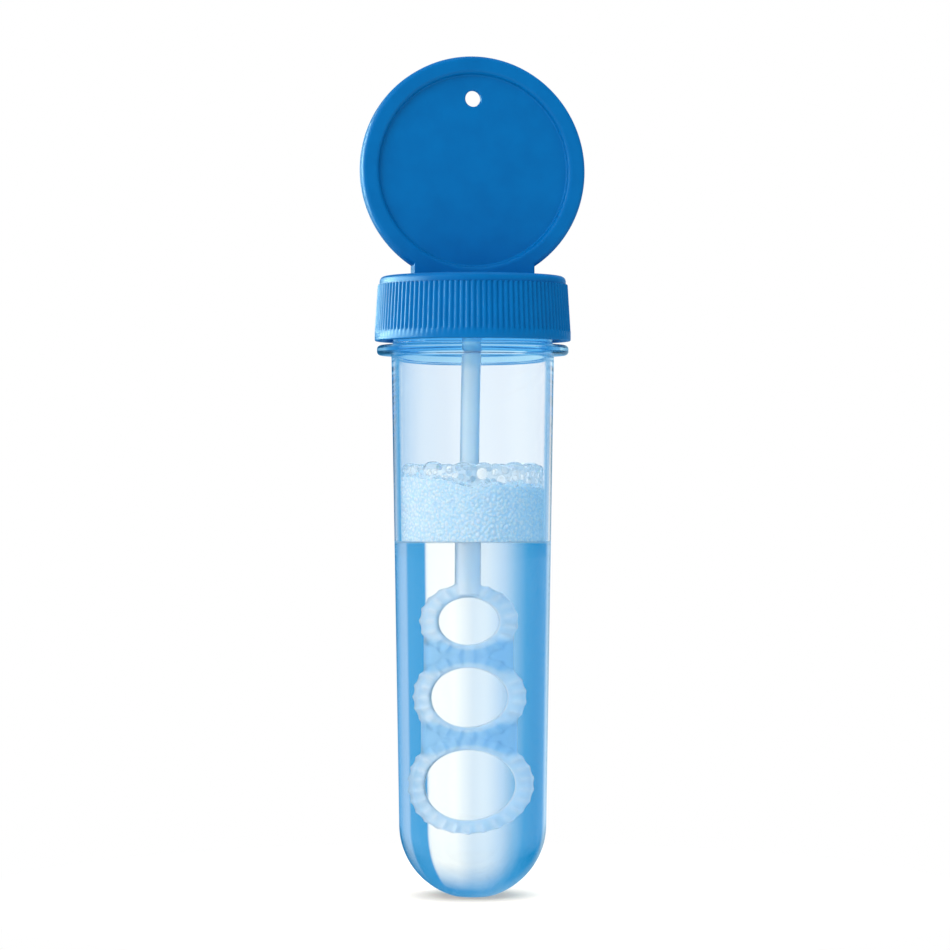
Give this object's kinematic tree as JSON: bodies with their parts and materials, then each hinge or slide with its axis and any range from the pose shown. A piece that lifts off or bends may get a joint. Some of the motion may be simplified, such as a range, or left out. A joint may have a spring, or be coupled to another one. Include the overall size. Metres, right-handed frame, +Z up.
{
  "type": "bubble wand",
  "caption": "Clear tinted round-ended vial of soap solution with a ribbed screw cap, round hanging tag and looped blowing wand that lifts out with the cap.",
  "frame": {"origin": "centre of the flat foot that the vial stands on", "axes": "+Z up the vial's axis, X across the tag and the wand's loops, Y square to the tag's faces"},
  "size_m": [0.0352, 0.0304, 0.13],
  "materials": {
    "clear_vial": "clear pale blue moulded plastic, polished",
    "soap_solution": "clear liquid",
    "froth": "wet froth of small bubbles",
    "liner_foam": "white closed-cell foam sheet",
    "blue_cap": "satin moulded plastic with fine upright ribs",
    "blue_tag": "satin moulded plastic",
    "wand_plastic": "milky translucent moulded plastic"
  },
  "bodies": {
    "vial": {"vial": "clear_vial"},
    "solution": {"bubble_solution": "soap_solution", "foam_head": "froth"},
    "liner": {"cap_liner": "liner_foam"},
    "cap": {"screw_cap": "blue_cap", "tag_disc": "blue_tag", "wand": "wand_plastic"}
  },
  "joints": [
    {"name": "cap_turn", "type": "hinge", "parent": "vial", "child": "solution", "pos_m": [0, 0, 0.09], "axis": [0, 0, 1], "range_deg": [0, 540]},
    {"name": "cap_pull", "type": "slide", "parent": "solution", "child": "liner", "axis": [0, 0, 1], "range_m": [0, 0.095]},
    {"name": "cap_rise", "type": "slide", "parent": "liner", "child": "cap", "axis": [0, 0, 1], "range_m": [0, 0.00451]}
  ],
  "couplings": [
    {"joint": "cap_rise", "follows": "cap_turn", "m_per_rad": 0.00047746}
  ]
}
